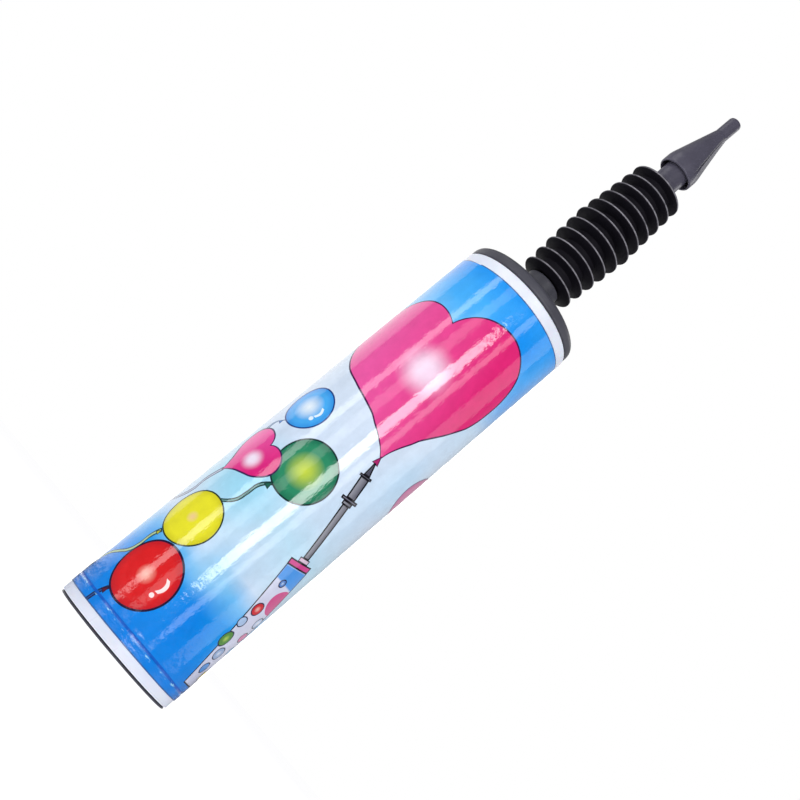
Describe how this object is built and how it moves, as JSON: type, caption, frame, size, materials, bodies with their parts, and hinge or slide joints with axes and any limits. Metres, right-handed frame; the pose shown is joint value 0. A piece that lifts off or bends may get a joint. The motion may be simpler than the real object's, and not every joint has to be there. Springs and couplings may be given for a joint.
{
  "type": "balloon hand pump",
  "caption": "Upright double-acting hand pump for toy balloons: printed tube barrel, end caps, sliding hollow rod with ribbed grip, piston, flap valves and a tapered nozzle.",
  "frame": {"origin": "centre of the rear cap's flat outer face, on the pump's axis", "axes": "+Z along the pump's axis from the rear cap to the nozzle; +X and +Y are across it, with -Y towards the front of the printed picture"},
  "size_m": [0.05, 0.05, 0.2896],
  "materials": {
    "tube_plastic": "white moulded plastic, smooth",
    "label_film": "glossy printed film, sky blue with a balloon picture",
    "cap_plastic": "dark grey moulded plastic, satin",
    "grip_rubber": "black soft plastic, satin, with brighter worn rib edges",
    "rod_plastic": "grey moulded plastic, satin",
    "seal_rubber": "black rubber, greased",
    "valve_rubber": "thin natural rubber sheet",
    "cage_plastic": "uncoloured moulded plastic",
    "screw_steel": "plated steel"
  },
  "bodies": {
    "barrel": {"barrel_tube": "tube_plastic", "printed_label": "label_film", "rear_cap": "cap_plastic", "rear_cap_seal": "seal_rubber", "rear_valve_cage": "cage_plastic", "front_cap": "cap_plastic", "front_cap_seal": "seal_rubber", "front_valve_cage": "cage_plastic", "rod_guide_bush": "cage_plastic", "rod_seal": "seal_rubber", "rod_seal_retainer": "cage_plastic"},
    "ring_carrier": {"piston_ring": "seal_rubber"},
    "rod": {"piston_rod": "rod_plastic", "hand_grip": "grip_rubber", "nozzle": "rod_plastic", "piston_front_plate": "cap_plastic", "piston_shell": "cap_plastic", "piston_rear_plate": "cap_plastic", "piston_screw": "screw_steel"},
    "rear_intake_disc": {"rear_intake_valve": "valve_rubber"},
    "front_intake_disc": {"front_intake_valve": "valve_rubber"},
    "rear_check_disc": {"rear_check_valve": "valve_rubber"},
    "front_check_disc": {"front_check_valve": "valve_rubber"}
  },
  "joints": [
    {"name": "rod_stroke", "type": "slide", "parent": "barrel", "child": "ring_carrier", "axis": [0, 0, 1], "range_m": [0, 0.141]},
    {"name": "rod_turn", "type": "hinge", "parent": "ring_carrier", "child": "rod", "pos_m": [0, 0, 0], "axis": [0, 0, 1], "continuous": true},
    {"name": "rear_intake_lift", "type": "slide", "parent": "barrel", "child": "rear_intake_disc", "axis": [0, 0, 1], "range_m": [0, 0.0012]},
    {"name": "front_intake_lift", "type": "slide", "parent": "barrel", "child": "front_intake_disc", "axis": [0, 0, -1], "range_m": [0, 0.0012]},
    {"name": "rear_check_lift", "type": "slide", "parent": "rod", "child": "rear_check_disc", "axis": [0, 0, 1], "range_m": [0, 0.0012]},
    {"name": "front_check_lift", "type": "slide", "parent": "rod", "child": "front_check_disc", "axis": [0, 0, -1], "range_m": [0, 0.0012]}
  ]
}
